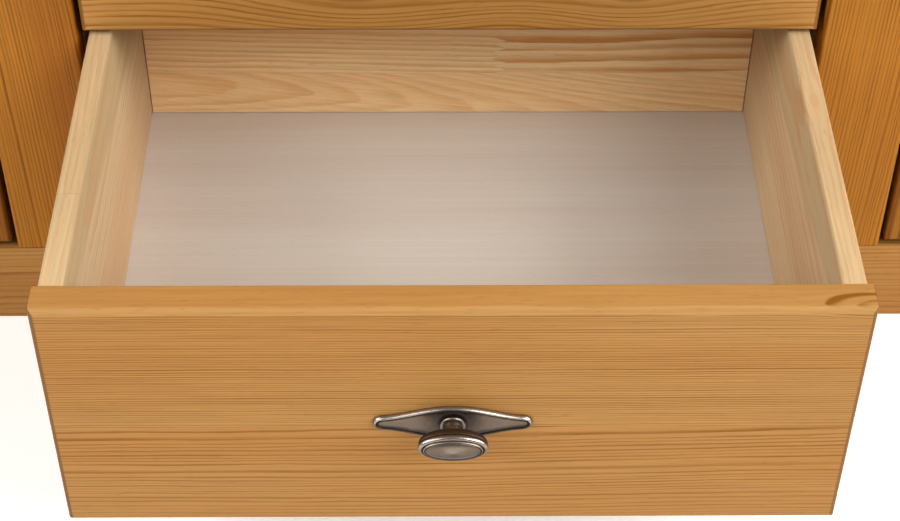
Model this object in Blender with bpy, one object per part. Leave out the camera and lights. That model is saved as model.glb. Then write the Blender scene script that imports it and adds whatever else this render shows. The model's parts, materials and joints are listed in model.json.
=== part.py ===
"""Pine sideboard: a stack of three drawers between two panelled cupboards.

World axes: X to the right, Y to the back, Z up, in metres.  The origin is at floor
level, in the middle of the footprint that the sideboard covers with its bottom
drawer pulled out.  Every board, rail, panel, knob and pin is one closed solid, and
neighbours stand one joint line apart.
"""

import itertools
import math

import bmesh
import bpy
from mathutils import Matrix, Vector

# ---- Driving dimensions, metres ----------------------------------------------------

JOINT_LINE = 0.0003        # glue line or seam between two pieces that touch
LEFT = -1
RIGHT = 1

# Faces of the cabinet
FRONT_WIDTH = 0.460        # one drawer front
FRONT_HEIGHT = 0.179
FRONT_THICKNESS = 0.020
FRONT_ROUNDING = 0.004
FRONT_ROUNDING_STEPS = 5
SIDE_REVEAL = 0.0035       # gap beside a drawer front or a door
LEVEL_REVEAL = 0.004       # gap to the rail below or above it
FRONT_GAP = 0.003          # gap between two drawer fronts
DRAWER_COUNT = 3
PLINTH_HEIGHT = 0.067
STILE_WIDTH = 0.064
FRAME_THICKNESS = 0.020
STILE_ROUNDING = 0.003
STILE_ROUNDING_STEPS = 4
TOP_RAIL_HEIGHT = 0.060
DOOR_WIDTH = 0.400

# Carcass
TOP_THICKNESS = 0.026
TOP_FRONT_OVERHANG = 0.018
TOP_SIDE_OVERHANG = 0.018
TOP_REAR_OVERHANG = 0.006
TOP_ROUNDING = 0.006
TOP_ROUNDING_STEPS = 4
CARCASS_DEPTH = 0.380      # face of the frame to the rear of the back board
BOARD_THICKNESS = 0.020
BASE_THICKNESS = 0.018
BASE_TOP = 0.063
BACK_THICKNESS = 0.008
DADO_DEPTH = 0.006
SHELF_THICKNESS = 0.018
SHELF_SETBACK = 0.0206     # the shelf edge stops the closed door
SHELF_NOTCH_DEPTH = 0.004  # relief for the edge of the door that turns inwards
SHELF_NOTCH_MARGIN = 0.018

# Drawer boxes, measured from the bottom and the face of their fronts
BOX_WIDTH = 0.453
BOX_SIDE_THICKNESS = 0.014
BOX_SIDE_BOTTOM = 0.007
BOX_DEPTH = 0.362
BOX_EASING = 0.0012
FLOOR_THICKNESS = 0.006
FLOOR_LEVEL = 0.0276       # upper face of the floor panel
FLOOR_GROOVE_DEPTH = 0.0055
RUNNER_HEIGHT = 0.016
RUNNER_LEVEL = 0.093       # centre line of the runner
RUNNER_GROOVE_HEIGHT = 0.0174
RUNNER_GROOVE_DEPTH = 0.007
RUNNER_PLAY = 0.001
RUNNER_LENGTH = 0.336
BOTTOM_DRAWER_OPENING = 0.2407

# Doors
DOOR_THICKNESS = 0.020
DOOR_FRAME_WIDTH = 0.070
DOOR_GROOVE_DEPTH = 0.008
DOOR_GROOVE_FRONT = 0.0075
DOOR_GROOVE_WIDTH = 0.0066
DOOR_ROUNDING = 0.004
DOOR_ROUNDING_STEPS = 4
PANEL_PLAY = 0.0005
PANEL_SLOPE_INSET = 0.003
PANEL_FIELD_INSET = 0.036
PANEL_FIELD_FRONT = 0.003
PIN_RADIUS = 0.003
PIN_PLAY = 0.0003
PIN_GRIP = 0.010           # length of pin inside the rail, and inside the door
PIN_INSET = 0.010          # pivot line to the door's edge and to its face
PIN_SEGMENTS = 20

# Knobs: an oval head on a round neck, over a long shaped plate
PLATE_HALF_LENGTH = 0.0455
PLATE_TIP_HALF_HEIGHT = 0.0050
PLATE_MID_HALF_HEIGHT = 0.0132
PLATE_THICKNESS = 0.0026
PLATE_EDGE_EASING = 0.0009
PLATE_STATIONS = 12
PLATE_TIP_STEPS = 4
KNOB_SEGMENTS = 28
# Distance from the plate, half width, half height
KNOB_PROFILE = (
    (0.0000, 0.0073, 0.0073),
    (0.0014, 0.0073, 0.0073),
    (0.0022, 0.0062, 0.0062),
    (0.0050, 0.0051, 0.0051),
    (0.0080, 0.0052, 0.0051),
    (0.0091, 0.0100, 0.0068),
    (0.0102, 0.0158, 0.0087),
    (0.0120, 0.0191, 0.0100),
    (0.0145, 0.0199, 0.0104),
    (0.0168, 0.0200, 0.0105),
    (0.0182, 0.0191, 0.0099),
    (0.0190, 0.0166, 0.0078),
    (0.0204, 0.0125, 0.0057),
    (0.0212, 0.0066, 0.0030),
)
KNOB_TIP = 0.0215

PINE = (0.56, 0.30, 0.10)
DARK_PINE = (0.46, 0.22, 0.06)
RAW_PINE = (0.72, 0.52, 0.30)
PALE_PANEL = (0.66, 0.58, 0.48)
OLD_SILVER = (0.50, 0.45, 0.41)
STEEL = (0.55, 0.55, 0.57)

# ---- Derived places ----------------------------------------------------------------

DRAWER_PITCH = FRONT_HEIGHT + FRONT_GAP
FIRST_FRONT_BOTTOM = PLINTH_HEIGHT + LEVEL_REVEAL
OPENING_TOP = FIRST_FRONT_BOTTOM + DRAWER_COUNT * DRAWER_PITCH - FRONT_GAP + LEVEL_REVEAL
BODY_TOP = OPENING_TOP + TOP_RAIL_HEIGHT
DOOR_HEIGHT = OPENING_TOP - PLINTH_HEIGHT - 2 * LEVEL_REVEAL

INNER_STILE_X = FRONT_WIDTH / 2 + SIDE_REVEAL
DOOR_OPENING_X = INNER_STILE_X + STILE_WIDTH
OUTER_STILE_X = DOOR_OPENING_X + DOOR_WIDTH + 2 * SIDE_REVEAL
BODY_HALF_WIDTH = OUTER_STILE_X + STILE_WIDTH
DOOR_INNER_X = DOOR_OPENING_X + SIDE_REVEAL
DOOR_OUTER_X = DOOR_INNER_X + DOOR_WIDTH
END_INNER_X = BODY_HALF_WIDTH - BOARD_THICKNESS
DIVIDER_OUTER_X = INNER_STILE_X + BOARD_THICKNESS

KNOB_PROJECTION = PLATE_THICKNESS + 2 * JOINT_LINE + KNOB_TIP
FOOTPRINT_FRONT = -BOTTOM_DRAWER_OPENING - KNOB_PROJECTION
FOOTPRINT_REAR = CARCASS_DEPTH + TOP_REAR_OVERHANG
FACE_Y = -(FOOTPRINT_FRONT + FOOTPRINT_REAR) / 2

CARCASS_FRONT_Y = FACE_Y + FRAME_THICKNESS + JOINT_LINE
CARCASS_REAR_Y = FACE_Y + CARCASS_DEPTH
BACK_FRONT_Y = CARCASS_REAR_Y - BACK_THICKNESS
SHELF_MIDDLE_Z = (BASE_TOP + OPENING_TOP) / 2

BOX_FRONT_Y = FRONT_THICKNESS + JOINT_LINE
FLOOR_UNDERSIDE = FLOOR_LEVEL - FLOOR_THICKNESS

# Pairs of outer faces that meet in an edge, by the sign and axis of each face
FACE_PERIMETER = ("-y-x", "-y+x", "-y-z", "-y+z")
FRONT_UPRIGHT_EDGES = ("-y-x", "-y+x")
LONG_TOP_EDGES = ("+z-x", "+z+x")
ALL_TOP_EDGES = ("+z-x", "+z+x", "+z-y", "+z+y")


# ---- Materials and scene -----------------------------------------------------------

def clear_scene():
    """Remove every object of the open scene."""
    for item in list(bpy.data.objects):
        bpy.data.objects.remove(item, do_unlink=True)


def principled(name, colour, roughness, metallic=0.0):
    """A material of one colour."""
    material = bpy.data.materials.new(name)
    material.use_nodes = True
    shader = material.node_tree.nodes["Principled BSDF"]
    shader.inputs["Base Color"].default_value = (*colour, 1.0)
    shader.inputs["Roughness"].default_value = roughness
    shader.inputs["Metallic"].default_value = metallic
    material.diffuse_color = (*colour, 1.0)
    return material


def add_object(name, mesh, location, colour, roughness, metallic=0.0, parent=None):
    """Put a mesh in the scene as the piece called name, with a material of its own."""
    mesh.materials.clear()
    mesh.materials.append(principled(name, colour, roughness, metallic))
    piece = bpy.data.objects.new(name, mesh)
    bpy.context.scene.collection.objects.link(piece)
    place(piece, location, parent)
    return piece


def place(piece, location, parent):
    """Set a world position, under an unrotated parent if there is one."""
    if parent is None:
        piece.location = location
        return
    piece.parent = parent
    piece.location = Vector(location) - parent.location


def add_joint_empty(name, location):
    """An empty on the axis of a joint, to carry the moving pieces."""
    empty = bpy.data.objects.new(name, None)
    empty.empty_display_size = 0.05
    empty.location = location
    bpy.context.scene.collection.objects.link(empty)
    return empty


# ---- Rectilinear boards ------------------------------------------------------------

def inside(point, box):
    """Whether a point lies within a (low, high) box."""
    low, high = box
    return all(low[i] < point[i] < high[i] for i in range(3))


def grid_lines(low, high, cuts, axis):
    """The planes across one axis where a board or one of its cuts begins or ends."""
    lines = {low[axis], high[axis]}
    for cut in cuts:
        for corner in cut:
            if low[axis] < corner[axis] < high[axis]:
                lines.add(corner[axis])
    return sorted(lines)


def carved_bmesh(low, high, cuts):
    """The closed surface of a box from low to high, less the boxes in cuts."""
    lines = [grid_lines(low, high, cuts, axis) for axis in range(3)]
    counts = [len(line) - 1 for line in lines]

    def solid(cell):
        if not all(0 <= cell[i] < counts[i] for i in range(3)):
            return False
        centre = [(lines[i][cell[i]] + lines[i][cell[i] + 1]) / 2 for i in range(3)]
        return not any(inside(centre, cut) for cut in cuts)

    bm = bmesh.new()
    corners = {}

    def corner(index):
        if index not in corners:
            corners[index] = bm.verts.new([lines[i][index[i]] for i in range(3)])
        return corners[index]

    cells = itertools.product(*(range(count) for count in counts))
    for cell in filter(solid, cells):
        for axis in range(3):
            for step in (0, 1):
                neighbour = list(cell)
                neighbour[axis] += 2 * step - 1
                if solid(neighbour):
                    continue
                add_cell_face(bm, corner, cell, axis, step)
    bmesh.ops.recalc_face_normals(bm, faces=bm.faces)
    bmesh.ops.dissolve_limit(bm, angle_limit=math.radians(1), verts=bm.verts, edges=bm.edges)
    return bm


def add_cell_face(bm, corner, cell, axis, step):
    """Add the face of one grid cell that looks along an axis, at its near or far side."""
    first, second = [i for i in range(3) if i != axis]
    loop = []
    for along, across in ((0, 0), (1, 0), (1, 1), (0, 1)):
        index = list(cell)
        index[axis] += step
        index[first] += along
        index[second] += across
        loop.append(corner(tuple(index)))
    bm.faces.new(loop)


def lies_on(edge, plane, low, high):
    """Whether an edge lies on an outer face of the box, such as '+z'."""
    axis = "xyz".index(plane[1])
    value = high[axis] if plane[0] == "+" else low[axis]
    return all(abs(vert.co[axis] - value) < 1e-6 for vert in edge.verts)


def round_edges(bm, low, high, rounded, radius, segments):
    """Round the box edges named by pairs of faces, such as '-y+z'."""
    chosen = []
    for edge in bm.edges:
        for pair in rounded:
            if lies_on(edge, pair[:2], low, high) and lies_on(edge, pair[2:], low, high):
                chosen.append(edge)
                break
    if chosen:
        bmesh.ops.bevel(bm, geom=chosen, offset=radius, segments=segments, profile=0.5,
                        affect="EDGES", clamp_overlap=True)


def add_board(name, low, high, colour, cuts=(), rounded=(), radius=BOX_EASING, segments=1,
              parent=None):
    """A wooden board between two corners, with box-shaped cuts and rounded edges."""
    centre = (Vector(low) + Vector(high)) / 2
    bm = carved_bmesh(low, high, cuts)
    round_edges(bm, low, high, rounded, radius, segments)
    bmesh.ops.translate(bm, verts=bm.verts, vec=-centre)
    bmesh.ops.recalc_face_normals(bm, faces=bm.faces)
    mesh = bpy.data.meshes.new(name)
    bm.to_mesh(mesh)
    bm.free()
    if segments > 1:
        mesh.shade_smooth()
        mesh.set_sharp_from_angle(angle=math.radians(35))
    return add_object(name, mesh, centre, colour, 0.45, parent=parent)


def span(side, near, far):
    """The X range, low first, from near to far on one side of the middle."""
    return sorted((side * near, side * far))


def mirrored_box(side, near_x, far_x, low_y, high_y, low_z, high_z):
    """A box's two corners, given its X distances from the middle."""
    x_low, x_high = span(side, near_x, far_x)
    return (x_low, low_y, low_z), (x_high, high_y, high_z)


def side_name(side):
    return "left" if side == LEFT else "right"


# ---- Carcass -----------------------------------------------------------------------

def shelf_dado(side, face_x, depth):
    """The housing that one end of a shelf sits in, cut into a face at face_x."""
    half = SHELF_THICKNESS / 2 + JOINT_LINE
    near, far = sorted((face_x, face_x + depth))
    return mirrored_box(side, near, far, CARCASS_FRONT_Y - DADO_DEPTH, BACK_FRONT_Y,
                        SHELF_MIDDLE_Z - half, SHELF_MIDDLE_Z + half)


def add_end_panel(side):
    """The outer wall of one cupboard, housed for the base board and the shelf."""
    low, high = mirrored_box(side, END_INNER_X, BODY_HALF_WIDTH, CARCASS_FRONT_Y,
                             CARCASS_REAR_Y, 0.0, BODY_TOP - JOINT_LINE)
    base_housing = mirrored_box(side, END_INNER_X - DADO_DEPTH, END_INNER_X + DADO_DEPTH,
                                CARCASS_FRONT_Y - DADO_DEPTH, BACK_FRONT_Y,
                                BASE_TOP - BASE_THICKNESS - JOINT_LINE, BASE_TOP + JOINT_LINE)
    cuts = [base_housing, shelf_dado(side, END_INNER_X, DADO_DEPTH)]
    add_board(f"{side_name(side)}_end_panel", low, high, PINE, cuts)


def add_divider(side):
    """The wall between the drawers and one cupboard, housed for the shelf."""
    low, high = mirrored_box(side, INNER_STILE_X, DIVIDER_OUTER_X, CARCASS_FRONT_Y,
                             BACK_FRONT_Y - JOINT_LINE, BASE_TOP + JOINT_LINE,
                             BODY_TOP - JOINT_LINE)
    cuts = [shelf_dado(side, DIVIDER_OUTER_X, -DADO_DEPTH)]
    add_board(f"{side_name(side)}_divider", low, high, RAW_PINE, cuts)


def add_shelf(side):
    """The shelf of one cupboard, which stops its door and is notched by the pivots."""
    reach = DADO_DEPTH - 2 * JOINT_LINE
    front_y = FACE_Y + SHELF_SETBACK
    notch = mirrored_box(side, DOOR_OUTER_X - PIN_INSET - SHELF_NOTCH_MARGIN,
                         END_INNER_X + 2 * DADO_DEPTH, front_y - SHELF_NOTCH_DEPTH,
                         front_y + SHELF_NOTCH_DEPTH, SHELF_MIDDLE_Z - SHELF_THICKNESS,
                         SHELF_MIDDLE_Z + SHELF_THICKNESS)
    low, high = mirrored_box(side, DIVIDER_OUTER_X - reach, END_INNER_X + reach,
                             front_y, BACK_FRONT_Y - JOINT_LINE,
                             SHELF_MIDDLE_Z - SHELF_THICKNESS / 2,
                             SHELF_MIDDLE_Z + SHELF_THICKNESS / 2)
    add_board(f"{side_name(side)}_shelf", low, high, RAW_PINE, [notch])


def add_flat_carcass_boards():
    """The top, base and back boards."""
    add_board("top_board",
              (-BODY_HALF_WIDTH - TOP_SIDE_OVERHANG, FACE_Y - TOP_FRONT_OVERHANG, BODY_TOP),
              (BODY_HALF_WIDTH + TOP_SIDE_OVERHANG, CARCASS_REAR_Y + TOP_REAR_OVERHANG,
               BODY_TOP + TOP_THICKNESS),
              PINE, rounded=ALL_TOP_EDGES + ("-z-y", "-z-x", "-z+x"), radius=TOP_ROUNDING,
              segments=TOP_ROUNDING_STEPS)
    reach = END_INNER_X + DADO_DEPTH - 2 * JOINT_LINE
    add_board("base_board",
              (-reach, CARCASS_FRONT_Y, BASE_TOP - BASE_THICKNESS),
              (reach, BACK_FRONT_Y - JOINT_LINE, BASE_TOP), RAW_PINE)
    back_half = END_INNER_X - JOINT_LINE
    add_board("back_board",
              (-back_half, BACK_FRONT_Y, BASE_TOP - BASE_THICKNESS),
              (back_half, CARCASS_REAR_Y, BODY_TOP - JOINT_LINE), RAW_PINE)


def add_face_frame():
    """The plinth rail, the top rail and the four stiles."""
    rear = FACE_Y + FRAME_THICKNESS
    add_board("plinth_rail", (-BODY_HALF_WIDTH, FACE_Y, 0.0),
              (BODY_HALF_WIDTH, rear, PLINTH_HEIGHT), PINE)
    top_half = OUTER_STILE_X - JOINT_LINE
    add_board("top_rail", (-top_half, FACE_Y, OPENING_TOP),
              (top_half, rear, BODY_TOP - JOINT_LINE), PINE)
    for side in (LEFT, RIGHT):
        low, high = mirrored_box(side, OUTER_STILE_X, BODY_HALF_WIDTH, FACE_Y, rear,
                                 PLINTH_HEIGHT + JOINT_LINE, BODY_TOP - JOINT_LINE)
        add_board(f"{side_name(side)}_outer_stile", low, high, DARK_PINE, (), FRONT_UPRIGHT_EDGES,
                  STILE_ROUNDING, STILE_ROUNDING_STEPS)
        low, high = mirrored_box(side, INNER_STILE_X, DOOR_OPENING_X, FACE_Y, rear,
                                 PLINTH_HEIGHT + JOINT_LINE, OPENING_TOP - JOINT_LINE)
        add_board(f"{side_name(side)}_inner_stile", low, high, DARK_PINE, (), FRONT_UPRIGHT_EDGES,
                  STILE_ROUNDING, STILE_ROUNDING_STEPS)


def add_runner(drawer, side, front_bottom):
    """The batten on a divider that carries one side of a drawer."""
    tip = BOX_WIDTH / 2 - RUNNER_GROOVE_DEPTH + RUNNER_PLAY
    middle = front_bottom + RUNNER_LEVEL
    start = FACE_Y + BOX_FRONT_Y
    low, high = mirrored_box(side, tip, INNER_STILE_X - JOINT_LINE, start,
                             start + RUNNER_LENGTH, middle - RUNNER_HEIGHT / 2,
                             middle + RUNNER_HEIGHT / 2)
    add_board(f"{drawer}_drawer_{side_name(side)}_runner", low, high, RAW_PINE)


# ---- Knobs -------------------------------------------------------------------------

def lofted_mesh(name, rings):
    """A closed mesh through rings of points, capped at both ends, shaded smooth."""
    bm = bmesh.new()
    loops = [[bm.verts.new(point) for point in ring] for ring in rings]
    count = len(loops[0])
    for near, far in zip(loops, loops[1:]):
        for i in range(count):
            j = (i + 1) % count
            bm.faces.new((near[i], near[j], far[j], far[i]))
    bm.faces.new(loops[0])
    bm.faces.new(loops[-1])
    bmesh.ops.recalc_face_normals(bm, faces=bm.faces)
    mesh = bpy.data.meshes.new(name)
    bm.to_mesh(mesh)
    bm.free()
    mesh.shade_smooth()
    mesh.set_sharp_from_angle(angle=math.radians(40))
    return mesh


def oval(distance, half_width, half_height):
    """A ring of points around the knob's axis, which runs along -Y."""
    ring = []
    for i in range(KNOB_SEGMENTS):
        angle = 2 * math.pi * i / KNOB_SEGMENTS
        ring.append((half_width * math.cos(angle), -distance, half_height * math.sin(angle)))
    return ring


def knob_rings():
    """The oval knob, from its collar on the plate to the crown of its head."""
    rings = [oval(*station) for station in KNOB_PROFILE]
    rings.append(oval(KNOB_TIP, 0.0020, 0.0010))
    return rings


def plate_half_height(x):
    """Half the plate's height at a distance from its middle: full, then waisted."""
    swell = PLATE_MID_HALF_HEIGHT - PLATE_TIP_HALF_HEIGHT
    return PLATE_TIP_HALF_HEIGHT + swell * math.cos(math.pi * x / (2 * PLATE_HALF_LENGTH)) ** 2


def plate_outline(inset):
    """The plate's outline, an ogee lens with round tips, shrunk by an inset."""
    tip = PLATE_TIP_HALF_HEIGHT
    tip_centre = PLATE_HALF_LENGTH - tip
    upper = []
    for i in range(PLATE_STATIONS + 1):
        x = tip_centre * (1 - 2 * i / PLATE_STATIONS)
        upper.append((x, plate_half_height(abs(x)) - inset))
    ring = list(upper)
    ring += tip_arc(-tip_centre, tip - inset, math.pi / 2)
    ring += [(-x, -z) for x, z in upper]
    ring += tip_arc(tip_centre, tip - inset, 3 * math.pi / 2)
    return ring


def tip_arc(centre_x, radius, start):
    """The points between the two ends of a half circle around a tip's centre."""
    points = []
    for i in range(1, PLATE_TIP_STEPS):
        angle = start + math.pi * i / PLATE_TIP_STEPS
        points.append((centre_x + radius * math.cos(angle), radius * math.sin(angle)))
    return points


def plate_rings():
    """The plate, from its flat back to its eased front edge."""
    levels = ((0.0, 0.0), (PLATE_THICKNESS - PLATE_EDGE_EASING, 0.0),
              (PLATE_THICKNESS, PLATE_EDGE_EASING))
    rings = []
    for distance, inset in levels:
        rings.append([(x, -distance, z) for x, z in plate_outline(inset)])
    return rings


def add_handle(prefix, centre, upright, meshes, parent):
    """A knob over its plate, centred on a face at centre, long way across or upright."""
    knob_mesh, plate_mesh = meshes
    turn = math.pi / 2 if upright else 0.0
    plate_place = Vector(centre) + Vector((0, -JOINT_LINE, 0))
    knob_place = plate_place + Vector((0, -PLATE_THICKNESS - JOINT_LINE, 0))
    for kind, mesh, position in (("backplate", plate_mesh, plate_place),
                                 ("knob", knob_mesh, knob_place)):
        own = mesh.copy()
        own.transform(Matrix.Rotation(turn, 4, "Y"))
        add_object(f"{prefix}_{kind}", own, position, OLD_SILVER, 0.35, 0.9, parent)


# ---- Drawers -----------------------------------------------------------------------

def box_side(drawer, side, origin, parent):
    """One side of a drawer box, grooved for the floor inside and the runner outside."""
    outer = BOX_WIDTH / 2
    inner = outer - BOX_SIDE_THICKNESS
    face_y, bottom = origin
    start, end = face_y + BOX_FRONT_Y, face_y + BOX_DEPTH
    low, high = mirrored_box(side, inner, outer, start, end, bottom + BOX_SIDE_BOTTOM,
                             bottom + FRONT_HEIGHT - JOINT_LINE)
    floor_groove = mirrored_box(side, inner - FLOOR_GROOVE_DEPTH, inner + FLOOR_GROOVE_DEPTH,
                                start - 1, end + 1, bottom + FLOOR_UNDERSIDE - JOINT_LINE,
                                bottom + FLOOR_LEVEL + JOINT_LINE)
    middle = bottom + RUNNER_LEVEL
    runner_groove = mirrored_box(side, outer - RUNNER_GROOVE_DEPTH,
                                 outer + RUNNER_GROOVE_DEPTH, start - 1, end + 1,
                                 middle - RUNNER_GROOVE_HEIGHT / 2,
                                 middle + RUNNER_GROOVE_HEIGHT / 2)
    add_board(f"{drawer}_drawer_{side_name(side)}_side", low, high, RAW_PINE,
              [floor_groove, runner_groove], LONG_TOP_EDGES, parent=parent)


def add_drawer(drawer, front_bottom, opening, meshes):
    """A drawer: its front, box, floor panel and handle, pulled out by opening."""
    face_y = FACE_Y - opening
    slide = add_joint_empty(f"{drawer}_drawer_slide", (0.0, face_y, front_bottom))
    origin = (face_y, front_bottom)
    half = FRONT_WIDTH / 2
    inner = BOX_WIDTH / 2 - BOX_SIDE_THICKNESS
    floor_half = inner + FLOOR_GROOVE_DEPTH - PANEL_PLAY
    floor_start = face_y + FRONT_THICKNESS - FLOOR_GROOVE_DEPTH + PANEL_PLAY
    floor_slot = ((-floor_half - PANEL_PLAY, face_y + FRONT_THICKNESS - FLOOR_GROOVE_DEPTH,
                   front_bottom + FLOOR_UNDERSIDE - JOINT_LINE),
                  (floor_half + PANEL_PLAY, face_y + 1,
                   front_bottom + FLOOR_LEVEL + JOINT_LINE))
    add_board(f"{drawer}_drawer_front", (-half, face_y, front_bottom),
              (half, face_y + FRONT_THICKNESS, front_bottom + FRONT_HEIGHT), PINE,
              [floor_slot], FACE_PERIMETER, FRONT_ROUNDING, FRONT_ROUNDING_STEPS, slide)
    for side in (LEFT, RIGHT):
        box_side(drawer, side, origin, slide)
    rear = face_y + BOX_DEPTH
    add_board(f"{drawer}_drawer_back",
              (-inner + JOINT_LINE, rear - BOX_SIDE_THICKNESS,
               front_bottom + FLOOR_LEVEL + JOINT_LINE),
              (inner - JOINT_LINE, rear, front_bottom + FRONT_HEIGHT - JOINT_LINE),
              RAW_PINE, rounded=("+z-y", "+z+y"), parent=slide)
    add_board(f"{drawer}_drawer_floor",
              (-floor_half, floor_start, front_bottom + FLOOR_UNDERSIDE),
              (floor_half, rear, front_bottom + FLOOR_LEVEL), PALE_PANEL, parent=slide)
    centre = (0.0, face_y, front_bottom + FRONT_HEIGHT / 2)
    add_handle(f"{drawer}_drawer", centre, False, meshes, slide)


# ---- Doors -------------------------------------------------------------------------

def bore_cutter(name, x, low_z, high_z):
    """A hidden upright cylinder that bores a pivot hole."""
    bm = bmesh.new()
    bmesh.ops.create_cone(bm, cap_ends=True, segments=PIN_SEGMENTS,
                          radius1=PIN_RADIUS + PIN_PLAY, radius2=PIN_RADIUS + PIN_PLAY,
                          depth=high_z - low_z)
    mesh = bpy.data.meshes.new(name)
    bm.to_mesh(mesh)
    bm.free()
    cutter = bpy.data.objects.new(name, mesh)
    cutter.location = (x, FACE_Y + PIN_INSET, (low_z + high_z) / 2)
    cutter.hide_render = True
    cutter.display_type = "WIRE"
    bpy.context.scene.collection.objects.link(cutter)
    return cutter


def bore(piece, cutter):
    """Cut a piece with a cutter."""
    modifier = piece.modifiers.new(cutter.name, "BOOLEAN")
    modifier.operation = "DIFFERENCE"
    modifier.solver = "EXACT"
    modifier.object = cutter


def add_pin(name, x, gap_z):
    """A steel pivot pin across the gap between a rail and a door, centred at gap_z."""
    bm = bmesh.new()
    bmesh.ops.create_cone(bm, cap_ends=True, segments=PIN_SEGMENTS, radius1=PIN_RADIUS,
                          radius2=PIN_RADIUS, depth=2 * PIN_GRIP + LEVEL_REVEAL)
    mesh = bpy.data.meshes.new(name)
    bm.to_mesh(mesh)
    bm.free()
    mesh.shade_smooth()
    mesh.set_sharp_from_angle(angle=math.radians(40))
    add_object(name, mesh, (x, FACE_Y + PIN_INSET, gap_z), STEEL, 0.3, 1.0)


def door_stile(name, side, near, far, outer_face, groove_face, parent):
    """One upright of a door, grooved along its inner edge, rounded along the outer."""
    bottom, top = FIRST_FRONT_BOTTOM, FIRST_FRONT_BOTTOM + DOOR_HEIGHT
    low, high = mirrored_box(side, near, far, FACE_Y, FACE_Y + DOOR_THICKNESS, bottom, top)
    groove_y = FACE_Y + DOOR_GROOVE_FRONT
    groove = mirrored_box(side, groove_face - DOOR_GROOVE_DEPTH,
                          groove_face + DOOR_GROOVE_DEPTH, groove_y,
                          groove_y + DOOR_GROOVE_WIDTH, bottom - 1, top + 1)
    sign = "+" if (outer_face > groove_face) == (side == RIGHT) else "-"
    rounded = (f"-y{sign}x", f"+y{sign}x", "-y-z", "-y+z")
    return add_board(name, low, high, DARK_PINE, [groove], rounded, DOOR_ROUNDING,
                     DOOR_ROUNDING_STEPS, parent)


def door_rail(name, side, low_z, high_z, groove_z, edge, parent):
    """A rail of a door: a shoulder at each stile, stub tenons, a groove for the panel."""
    near = DOOR_INNER_X + DOOR_FRAME_WIDTH + JOINT_LINE
    far = DOOR_OUTER_X - DOOR_FRAME_WIDTH - JOINT_LINE
    tenon = DOOR_GROOVE_DEPTH - 2 * JOINT_LINE - PANEL_PLAY
    low, high = mirrored_box(side, near - tenon, far + tenon, FACE_Y,
                             FACE_Y + DOOR_THICKNESS, low_z, high_z)
    tenon_front = FACE_Y + DOOR_GROOVE_FRONT + JOINT_LINE
    tenon_rear = FACE_Y + DOOR_GROOVE_FRONT + DOOR_GROOVE_WIDTH - JOINT_LINE
    cuts = []
    for start, end in ((near - tenon - 1, near), (far, far + tenon + 1)):
        cuts.append(mirrored_box(side, start, end, FACE_Y - 1, tenon_front, low_z - 1, high_z + 1))
        cuts.append(mirrored_box(side, start, end, tenon_rear, FACE_Y + 1, low_z - 1, high_z + 1))
    cuts.append(mirrored_box(side, near - 1, far + 1, FACE_Y + DOOR_GROOVE_FRONT,
                             FACE_Y + DOOR_GROOVE_FRONT + DOOR_GROOVE_WIDTH,
                             groove_z - DOOR_GROOVE_DEPTH, groove_z + DOOR_GROOVE_DEPTH))
    add_board(name, low, high, DARK_PINE, cuts, (edge,), DOOR_ROUNDING,
              DOOR_ROUNDING_STEPS, parent)


def rectangle(low_x, high_x, low_z, high_z, y, inset):
    """A ring of four corners at depth y, shrunk by an inset."""
    return [(low_x + inset, y, low_z + inset), (high_x - inset, y, low_z + inset),
            (high_x - inset, y, high_z - inset), (low_x + inset, y, high_z - inset)]


def add_door_panel(name, side, parent):
    """The raised panel, thin along its edges where it sits in the grooves."""
    reach = DOOR_GROOVE_DEPTH - PANEL_PLAY
    edge = reach + PANEL_SLOPE_INSET
    low_x, high_x = span(side, DOOR_INNER_X + DOOR_FRAME_WIDTH - reach,
                         DOOR_OUTER_X - DOOR_FRAME_WIDTH + reach)
    low_z = FIRST_FRONT_BOTTOM + DOOR_FRAME_WIDTH - reach
    high_z = FIRST_FRONT_BOTTOM + DOOR_HEIGHT - DOOR_FRAME_WIDTH + reach
    front = FACE_Y + DOOR_GROOVE_FRONT + JOINT_LINE
    rear = FACE_Y + DOOR_GROOVE_FRONT + DOOR_GROOVE_WIDTH - JOINT_LINE
    field = FACE_Y + PANEL_FIELD_FRONT
    stations = ((rear, 0.0), (front, 0.0), (front, edge), (field + 0.0012, PANEL_FIELD_INSET),
                (field, PANEL_FIELD_INSET))
    centre = Vector(((low_x + high_x) / 2, (front + rear) / 2, (low_z + high_z) / 2))
    rings = []
    for y, inset in stations:
        ring = rectangle(low_x, high_x, low_z, high_z, y, inset)
        rings.append([Vector(point) - centre for point in ring])
    mesh = lofted_mesh(name, rings)
    mesh.shade_flat()
    add_object(name, mesh, centre, PINE, 0.45, parent=parent)


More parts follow.
